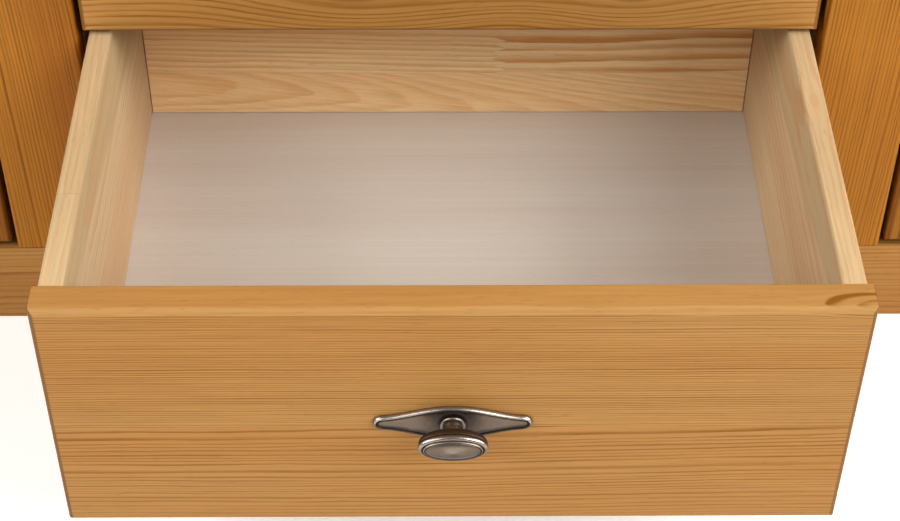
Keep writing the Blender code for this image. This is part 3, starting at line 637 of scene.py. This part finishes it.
def board_pine(node):
    """The timber of an ordinary board: one piece, or staves on the wide ones."""
    rng = random.Random(node)
    look = LOOKS[slot_of(node)]
    if node == "plinth_rail":
        look = lighter(look, PLINTH_SHADE)
    elif look is STREAKED:
        # door frames: darker timber, with painted shade
        look = lighter(look, DOOR_TIMBER_AND_SHADE)
    if node in WIDE_BOARDS:
        axis, grain = WIDE_BOARDS[node]
        timber = glued_up(rng, node, axis, grain)
    else:
        grain = (X_AXIS, Y_AXIS, Z_AXIS)[longest_axis(node)]
        timber = random_stave(rng, middle(node), grain)
    return pine(f"{node}_pine", look, grain, timber)


FRONT_SEAM = 0.0848        # height of the glue line above a drawer front's foot
MIDDLE_PAINTED_LIGHT = 1.2         # how much paler the middle drawer's front is painted: painted light where the open drawer below keeps light off it


def front_pine(node):
    """A drawer front: fine straight rings above the seam, wider ones below it."""
    low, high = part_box(node)
    rng = random.Random(node)
    centre = middle(node)
    seam = low.z + FRONT_SEAM
    start = rng.uniform(-3, 3)
    upper = Stave(Vector((centre.x, centre.y + 0.003, high.z + 0.115)), 1.75 * MM, 6 * MM,
                  (0, 0.002, 0.001), start, 1.4)
    lower = Stave(Vector((centre.x, centre.y + 0.105, seam + 0.055)), 2.2 * MM, 8 * MM,
                  (0, 0.01, -0.004), -start, 1.15)
    look = STAINED
    knots = []
    if node == "bottom_drawer_front":
        knots.append((Vector((high.x + 0.003, low.y - 0.001, high.z + 0.009)), 9 * MM))
    elif node == "middle_drawer_front":
        # painted light: a paler copy of the stain for this front
        look = lighter(STAINED, MIDDLE_PAINTED_LIGHT)
        knots.append((Vector((low.x + 0.17, low.y, low.z + 0.032)), 22 * MM))
        knots.append((Vector((low.x + 0.245, low.y, low.z - 0.010)), 16 * MM))
        knots.append((Vector((high.x - 0.12, low.y, low.z + 0.030)), 18 * MM))
        lower = lower._replace(wave=30 * MM, ring_width=3.0 * MM)
    return pine(f"{node}_pine", look, X_AXIS, Joint(2, seam, lower, upper), knots,
                arris=high.z - low.y)


def stile_pine(node):
    """An upright of the front frame, with close straight dark rings."""
    rng = random.Random(node)
    side = 1 if node.startswith("right") else -1
    pith = middle(node) + Vector((side * 0.11, 0.02, 0))
    stave = Stave(pith, 2.4 * MM, 14 * MM, (side * 0.03, 0.01, 0), rng.uniform(-3, 3), 1.0)
    return pine(f"{node}_pine", STREAKED, Z_AXIS, stave)


BACK_SEAM = 0.036          # height of the glue line above a drawer back's foot
BACK_JOINT = 0.031         # its finger joint, to the right of the middle
BACK_FINGERS = 10 * MM


def drawer_back_pine(node):
    """The back of a drawer: a finger-jointed upper stave over a plain lower one."""
    low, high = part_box(node)
    seam = low.z + BACK_SEAM
    centre = middle(node)
    rng = random.Random(node)
    start = rng.uniform(-3, 3)
    left = Stave(Vector((centre.x, centre.y - 0.02, seam + 0.11)), 4.8 * MM, 14 * MM,
                 (0, 0, -0.03), start, 0.8)
    right = Stave(Vector((centre.x, centre.y + 0.10, seam + 0.10)), 6.5 * MM, 24 * MM,
                  (0, 0, -0.02), start + 1, 1.3)
    lower = Stave(Vector((centre.x - 0.05, centre.y + 0.03, seam - 0.03)), 3.0 * MM, 44 * MM,
                  (0, 0.03, -0.12), start + 2, 0.5)
    upper = Joint(0, centre.x + BACK_JOINT, left, right, BACK_FINGERS, 2)
    # its pine made paler than the sides' as painted light
    return pine(f"{node}_pine", RAW_BACK_WITH_PAINTED_LIGHT, X_AXIS, Joint(2, seam, lower, upper))


SAP_DEPTH = 0.045          # depth of the sapwood's lower edge below the top, at the middle
SAP_SLOPE = -0.115         # its lower edge falls towards the back
SIDE_JOINT = 0.0745        # the left sides' butt joint, from their front ends
SIDE_KNOT = 0.157          # the knot in the bottom right side, from its front end


def drawer_side_pine(node):
    """A drawer side: sapwood along its top over warmer heartwood, the sapwood's colour darkened
    as painted shade where the top faces catch more light.

    The left ones are joined end to end out of two pieces.
    """
    low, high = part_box(node)
    centre = middle(node)
    rng = random.Random(node)
    start = rng.uniform(-3, 3)
    timber = Stave(Vector((centre.x + 0.07, centre.y, high.z - 0.02)), 4.2 * MM, 14 * MM,
                   (-0.01, 0, 0.02), -start, 0.75)
    knots = []
    if node.endswith("left_side"):
        front = Stave(Vector((centre.x + 0.05, centre.y, high.z + 0.012)), 7 * MM, 9 * MM,
                      (0.01, 0, 0.01), start, 0.35)
        timber = Joint(1, low.y + SIDE_JOINT, front, timber)
    elif node == "bottom_drawer_right_side":
        knots.append((Vector((centre.x, low.y + SIDE_KNOT, high.z)), 6.5 * MM))
    sapwood = (high.z - SAP_DEPTH - SAP_SLOPE * centre.y, SAP_SLOPE)
    return pine(f"{node}_pine", RAW, Y_AXIS, timber, knots, sapwood)


def add_boards():
    """Every timber piece, each sawn from its own place in a log."""
    for part in frame["record"]["subparts"]:
        node = part["node"]
        if part["material_slot"] not in LOOKS or node == "back_board":
            continue
        if node.endswith("_drawer_front"):
            material = front_pine(node)
        elif node.endswith(("outer_stile", "inner_stile")):
            material = stile_pine(node)
        elif node.endswith("_drawer_back"):
            material = drawer_back_pine(node)
        elif "_drawer_" in node and node.endswith("_side"):
            material = drawer_side_pine(node)
        else:
            material = board_pine(node)
        stand_for(node, eased_copy(node), material, "timber")


BACK_BOARD_WIDTH = 0.096
BACK_GROOVE = 2.2 * MM


def add_back():
    """The back: upright boards side by side, with a V groove at each joint."""
    node = "back_board"
    low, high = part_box(node)
    rng = random.Random(node)
    count = round((high.x - low.x) / BACK_BOARD_WIDTH)
    pitch = (high.x - low.x) / count
    seams = [low.x + pitch * number for number in range(1, count)]
    outline = [(low.x, low.y)]
    for seam in seams:
        outline += [(seam - BACK_GROOVE, low.y), (seam, low.y + BACK_GROOVE),
                    (seam + BACK_GROOVE, low.y)]
    outline += [(high.x, low.y), (high.x, high.y)]
    for seam in reversed(seams):
        outline += [(seam + BACK_GROOVE, high.y), (seam, high.y - BACK_GROOVE),
                    (seam - BACK_GROOVE, high.y)]
    outline.append((low.x, high.y))
    mesh = ring_mesh(node, [[Vector((x, y, z)) for x, y in outline] for z in (low.z, high.z)])
    timber = random_stave(rng, middle(node), Z_AXIS)
    for seam in reversed(seams):
        timber = Joint(0, seam, random_stave(rng, middle(node), Z_AXIS), timber)
    stand_for(node, mesh, pine("back_pine", RAW, Z_AXIS, timber), "boards")


# ---- Turned and cast metal ---------------------------------------------------------

def ring_mesh(name, rings, wear_and_shade=None):
    """A closed mesh through rings of points, capped, with a value of wear and painted shade for
    each point.
    """
    bm = bmesh.new()
    layer = bm.verts.layers.float.new("wear_and_shade") if wear_and_shade else None
    loops = []
    for number, ring in enumerate(rings):
        loop = [bm.verts.new(point) for point in ring]
        for place, vert in enumerate(loop if wear_and_shade else ()):
            vert[layer] = wear_and_shade[number][place]
        loops.append(loop)
    count = len(loops[0])
    for near, far in zip(loops, loops[1:]):
        for i in range(count):
            j = (i + 1) % count
            bm.faces.new((near[i], near[j], far[j], far[i]))
    bm.faces.new(loops[0])
    bm.faces.new(loops[-1])
    bmesh.ops.recalc_face_normals(bm, faces=bm.faces)
    mesh = bpy.data.meshes.new(name)
    bm.to_mesh(mesh)
    bm.free()
    mesh.shade_smooth()
    mesh.set_sharp_from_angle(angle=METAL_CREASE)
    return mesh


def smooth_stations(stations, steps):
    """Stations along a Catmull-Rom curve through the given ones."""
    ends = [stations[0], *stations, stations[-1]]
    out = []
    for a, b, c, d in zip(ends, ends[1:], ends[2:], ends[3:]):
        for step in range(steps):
            t = step / steps
            out.append([0.5 * (2 * q + (r - p) * t + (2 * p - 5 * q + 4 * r - s) * t * t
                               + (3 * q - p - 3 * r + s) * t ** 3)
                        for p, q, r, s in zip(a, b, c, d)])
    return out + [list(stations[-1])]


KNOB_SEGMENTS = 96
KNOB_STEPS = 4
# Millimetres from the plate, half width, half height, then wear from 0 to 1
KNOB_STATIONS = (
    (0.0, 7.4, 7.4, 0.1), (0.7, 7.4, 7.4, 0.5), (1.3, 7.1, 7.1, 0.8), (1.8, 6.4, 6.4, 0.8),
    (2.1, 5.8, 5.8, 0.3), (2.5, 5.4, 5.4, 0.0), (3.6, 5.1, 5.1, 0.7), (5.5, 5.0, 5.0, 1.0),
    (7.2, 5.1, 5.0, 0.7), (8.3, 6.0, 5.4, 0.3), (9.1, 10.0, 6.8, 0.2), (9.9, 15.0, 8.5, 0.2),
    (11.0, 18.2, 9.7, 0.25), (12.6, 19.35, 10.1, 0.3), (14.4, 19.6, 10.25, 0.35),
    (15.2, 19.3, 10.0, 0.1), (15.9, 19.6, 10.2, 0.5), (16.8, 19.95, 10.45, 0.8),
    (17.7, 19.7, 10.25, 1.0), (18.4, 19.1, 9.7, 1.0), (18.75, 18.4, 9.1, 0.9),
    (18.75, 17.9, 8.7, 0.5), (18.35, 17.5, 8.35, 0.0), (18.3, 17.3, 8.2, 0.0),
    (18.8, 17.05, 8.0, 0.4), (19.4, 16.8, 7.75, 0.9), (19.55, 16.5, 7.5, 0.95),
    (19.3, 16.2, 7.25, 0.2), (19.15, 16.0, 7.1, 0.0), (19.4, 15.7, 6.85, 0.2),
    (19.8, 15.1, 6.55, 0.5), (20.35, 13.0, 5.6, 0.57), (20.8, 10.4, 4.45, 0.6),
    (21.12, 7.3, 3.15, 0.63), (21.32, 4.2, 1.8, 0.66), (21.38, 1.5, 0.65, 0.66),
)
SHADED_WEAR = 0.35         # share of the wear level kept on a spot that faces down; the rest is taken off as painted shade

PLATE_HALF_LENGTH = 45.5
PLATE_TIP = 5.0
PLATE_MIDDLE = 13.2
PLATE_STATIONS = 56
PLATE_TIP_STEPS = 14
PLATE_STEPS = 3
# Millimetres in from the outline, height, then wear from 0 to 1
PLATE_RIM = (
    (0.0, 0.0, 0.7), (0.0, 0.5, 0.9), (0.18, 1.2, 1.0), (0.5, 1.85, 0.95), (0.9, 2.35, 0.9),
    (1.35, 2.5, 0.85), (1.7, 2.25, 0.5), (1.9, 1.75, 0.05), (2.1, 1.4, 0.0), (2.55, 1.35, 0.0),
    (2.85, 1.8, 0.1), (3.3, 2.1, 0.4), (4.4, 2.2, 0.5),
)
PLATE_FIELD = 2.2
FIELD_WEAR = 0.43
RIM_WIDTH = 2.2            # millimetres of the plate's edge that stay bright
KNOB_SHADE_NEAR = 7.0           # distances from the knob over which the field's painted shade fades out
KNOB_SHADE_FAR = 24.0
KNOB_SHADE_LEAST = 0.35         # share of the field's wear level left beside the knob under painted shade
FIELD_RINGS = (0.8, 0.6, 0.4, 0.2)
BOSS_STEPS = 3
BOSS_STATIONS = ((2.0, 10.0, 0.1), (2.25, 9.9, 0.1), (2.45, 9.5, 0.22), (2.5, 9.0, 0.12),
                 (2.5, 5.0, 0.05))


def oval(station):
    """A ring of points around the knob's axis, which runs along -Y."""
    distance, half_width, half_height = (value * MM for value in station[:3])
    turns = (2 * math.pi * i / KNOB_SEGMENTS for i in range(KNOB_SEGMENTS))
    return [(half_width * math.cos(a), -distance, half_height * math.sin(a)) for a in turns]


def paler_upwards(value, upwards):
    """Wear of a spot, lowered as painted shade where it faces down; upwards goes from -1 to 1."""
    return value * (SHADED_WEAR + (1 - SHADED_WEAR) * (upwards + 1) / 2)


def knob_mesh():
    """The knob, from its collar on the plate to the crown of its head."""
    stations = smooth_stations(KNOB_STATIONS, KNOB_STEPS)
    turns = [2 * math.pi * i / KNOB_SEGMENTS for i in range(KNOB_SEGMENTS)]
    # wear of each point, with painted shade on the faces that look down
    return ring_mesh("knob", [oval(station) for station in stations],
                     [[paler_upwards(station[3], math.sin(a)) for a in turns] for station in stations])


def plate_outline():
    """The plate's outline in millimetres: an ogee lens with round tips."""
    reach = PLATE_HALF_LENGTH - PLATE_TIP
    upper = []
    for i in range(PLATE_STATIONS + 1):
        x = reach * (1 - 2 * i / PLATE_STATIONS)
        swell = math.cos(math.pi * x / (2 * PLATE_HALF_LENGTH)) ** 2
        upper.append(Vector((x, PLATE_TIP + (PLATE_MIDDLE - PLATE_TIP) * swell)))
    tip = []
    for i in range(1, PLATE_TIP_STEPS):
        angle = math.pi / 2 + math.pi * i / PLATE_TIP_STEPS
        tip.append(Vector((-reach + PLATE_TIP * math.cos(angle), PLATE_TIP * math.sin(angle))))
    half = upper + tip
    return half + [-point for point in half]


def inset_outline(outline, inset):
    """The outline moved inwards along its normals."""
    count = len(outline)
    moved = []
    for i, point in enumerate(outline):
        ahead = (outline[(i + 1) % count] - outline[i - 1]).normalized()
        moved.append(point + inset * Vector((-ahead.y, ahead.x)))
    return moved


def knob_shade(x, inset):
    """Painted shade on the plate: its field darkens towards the knob, its rim does not."""
    if inset < RIM_WIDTH:
        return 1.0
    share = max(0.0, min(1.0, (abs(x) - KNOB_SHADE_NEAR) / (KNOB_SHADE_FAR - KNOB_SHADE_NEAR)))
    return KNOB_SHADE_LEAST + (1 - KNOB_SHADE_LEAST) * share


def plate_mesh():
    """The plate: a raised rim bead, a dark groove inside it and a flat field."""
    outline = plate_outline()
    stations = smooth_stations(PLATE_RIM, PLATE_STEPS)
    rings = []
    wear_and_shade = []
    for inset, height, value in stations:
        line = inset_outline(outline, inset)
        rings.append([(p.x * MM, -height * MM, p.y * MM) for p in line])
        # the rim's wear, with painted shade on its downward edges
        wear_and_shade.append([paler_upwards(value, math.tanh(p.y)) * knob_shade(p.x, inset) for p in line])
    edge = inset_outline(outline, stations[-1][0])
    for share in FIELD_RINGS:
        line = [Vector((p.x * (0.5 + 0.5 * share), p.y * share)) for p in edge]
        rings.append([(p.x * MM, -PLATE_FIELD * MM, p.y * MM) for p in line])
        # the field's wear, darkened towards the knob as painted shade
        wear_and_shade.append([FIELD_WEAR * knob_shade(p.x, PLATE_RIM[-1][0]) for p in line])
    return ring_mesh("plate", rings, wear_and_shade)


def boss_mesh():
    """The low round boss around the knob's collar."""
    stations = smooth_stations(BOSS_STATIONS, BOSS_STEPS)
    rings = [oval((distance, radius, radius)) for distance, radius, _ in stations]
    return ring_mesh("boss", rings, [[station[2]] * KNOB_SEGMENTS for station in stations])


def add_handle(prefix):
    """The knob, plate and boss of one drawer or door."""
    plate, knob = f"{prefix}_backplate", f"{prefix}_knob"
    low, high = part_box(plate)
    upright = high.z - low.z > high.x - low.x
    turn = Matrix.Rotation(math.pi / 2 if upright else 0.0, 4, "Y")
    centre = middle(plate)
    plate_place = Matrix.Translation((centre.x, high.y, centre.z)) @ turn
    knob_place = Matrix.Translation((centre.x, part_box(knob)[1].y, centre.z)) @ turn
    for node, shape, place in ((plate, plate_mesh(), plate_place),
                               (knob, knob_mesh(), knob_place)):
        shape.transform(place)
        stand_for(node, shape, OLD_SILVER, "cast")
    boss = boss_mesh()
    boss.transform(plate_place)
    add_piece(f"{prefix}_boss", boss, OLD_SILVER, body_of(plate))


# ---- Small hardware ----------------------------------------------------------------

HEAD_RADIUS = 4.0
HEAD_RINGS = 14
HEAD_SEGMENTS = 64
CROSS_REACH = 2.5
CROSS_HALF_WIDTH = 0.55
CROSS_DEPTH = 1.1
CROSS_EASE = 0.2           # run-out of the cross's sides, and of its ends
CROSS_END_EASE = 0.5
HEAD_SKIRT = 0.4           # how far below the cross the head's foot reaches into the wood
DRAWER_SCREW_RISE = 2.0
DOOR_SCREW_RISE = 0.25     # less than the gap between a closed door and its shelf


def cross_depth(x, z):
    """How deep the cross recess of a screw is at a place on its head, in millimetres."""
    narrow, reach = min(abs(x), abs(z)), max(abs(x), abs(z))
    sides = max(0.0, min(1.0, (CROSS_HALF_WIDTH - narrow) / CROSS_EASE + 0.5))
    ends = max(0.0, min(1.0, (CROSS_REACH - reach) / CROSS_END_EASE))
    return CROSS_DEPTH * sides * ends


def screw_head_mesh(rise):
    """A screw head with a cross recess, rising along +Y from its seat."""
    rings = [[], []]
    for i in range(HEAD_SEGMENTS):
        angle = 2 * math.pi * i / HEAD_SEGMENTS
        for ring, height in zip(rings, (-CROSS_DEPTH - HEAD_SKIRT, 0.0)):
            ring.append((HEAD_RADIUS * math.cos(angle) * MM, height * MM,
                         HEAD_RADIUS * math.sin(angle) * MM))
    for number in range(HEAD_RINGS):
        share = 1 - number / HEAD_RINGS
        radius = HEAD_RADIUS * share * 0.995
        dome = rise * (1 - share ** 4)
        ring = []
        for i in range(HEAD_SEGMENTS):
            angle = 2 * math.pi * i / HEAD_SEGMENTS
            x, z = radius * math.cos(angle), radius * math.sin(angle)
            ring.append((x * MM, (dome - cross_depth(x, z)) * MM, z * MM))
        rings.append(ring)
    return ring_mesh("screw", rings)


def add_knob_screws():
    """The screw that holds each knob, seen on the inner face of its front or door."""
    for prefix in HANDLED:
        knob = f"{prefix}_knob"
        wood = f"{prefix}_front" if "drawer" in prefix else f"{prefix}_knob_stile"
        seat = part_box(wood)[1].y
        centre = middle(knob)
        rise = DRAWER_SCREW_RISE if "drawer" in prefix else DOOR_SCREW_RISE
        mesh = screw_head_mesh(rise)
        mesh.transform(Matrix.Translation((centre.x, seat, centre.z)))
        add_piece(f"{prefix}_knob_screw", mesh, BRIGHT_STEEL, body_of(knob))


NAIL_SPACING = 0.13
NAIL_INSET = 0.009
NAIL_COARSENESS = 6        # every sixth point of an oval is enough for a nail
# Millimetres out of the back, then radius
NAIL_STATIONS = ((-1.5, 1.0), (0.0, 1.7), (0.25, 1.65), (0.38, 1.2), (0.42, 0.5))


def add_back_nails():
    """The nails that hold the back, in rows along its edges and the dividers."""
    low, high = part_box("back_board")
    stations = [(distance, radius, radius) for distance, radius in NAIL_STATIONS]
    columns = [low.x + NAIL_INSET, high.x - NAIL_INSET]
    columns += [middle(f"{side}_divider").x for side in SIDES]
    places = []
    rows = round((high.z - low.z) / NAIL_SPACING)
    for x in columns:
        places += [(x, low.z + (high.z - low.z) * (n + 0.5) / rows) for n in range(rows)]
    across = round((high.x - low.x) / NAIL_SPACING)
    for z in (low.z + NAIL_INSET, high.z - NAIL_INSET):
        places += [(low.x + (high.x - low.x) * (n + 0.5) / across, z) for n in range(across)]
    joined = bmesh.new()
    for x, z in places:
        nail = ring_mesh("nail", [oval(station)[::NAIL_COARSENESS] for station in stations])
        nail.transform(Matrix.Translation((x, high.y, z)) @ Matrix.Rotation(math.pi, 4, "Z"))
        joined.from_mesh(nail)
        bpy.data.meshes.remove(nail)
    mesh = bpy.data.meshes.new("nails")
    joined.to_mesh(mesh)
    joined.free()
    mesh.shade_smooth()
    add_piece("back_nails", mesh, BRIGHT_STEEL, body_of("back_board"))


def add_pins_and_floors():
    """The doors' pivot pins, with eased ends, and the drawers' floor panels."""
    for part in frame["record"]["subparts"]:
        node = part["node"]
        if node.endswith("_pin"):
            stand_for(node, eased_copy(node, PIN_EASE), BRIGHT_STEEL, "turned")
        elif node.endswith("_floor"):
            stand_for(node, eased_copy(node, SHEET_EASE), PALE_PANEL, "sheet")


# ---- The whole ---------------------------------------------------------------------

add_camera()
add_studio()
add_boards()
add_back()
for piece_group in HANDLED:
    add_handle(piece_group)
add_knob_screws()
add_back_nails()
add_pins_and_floors()
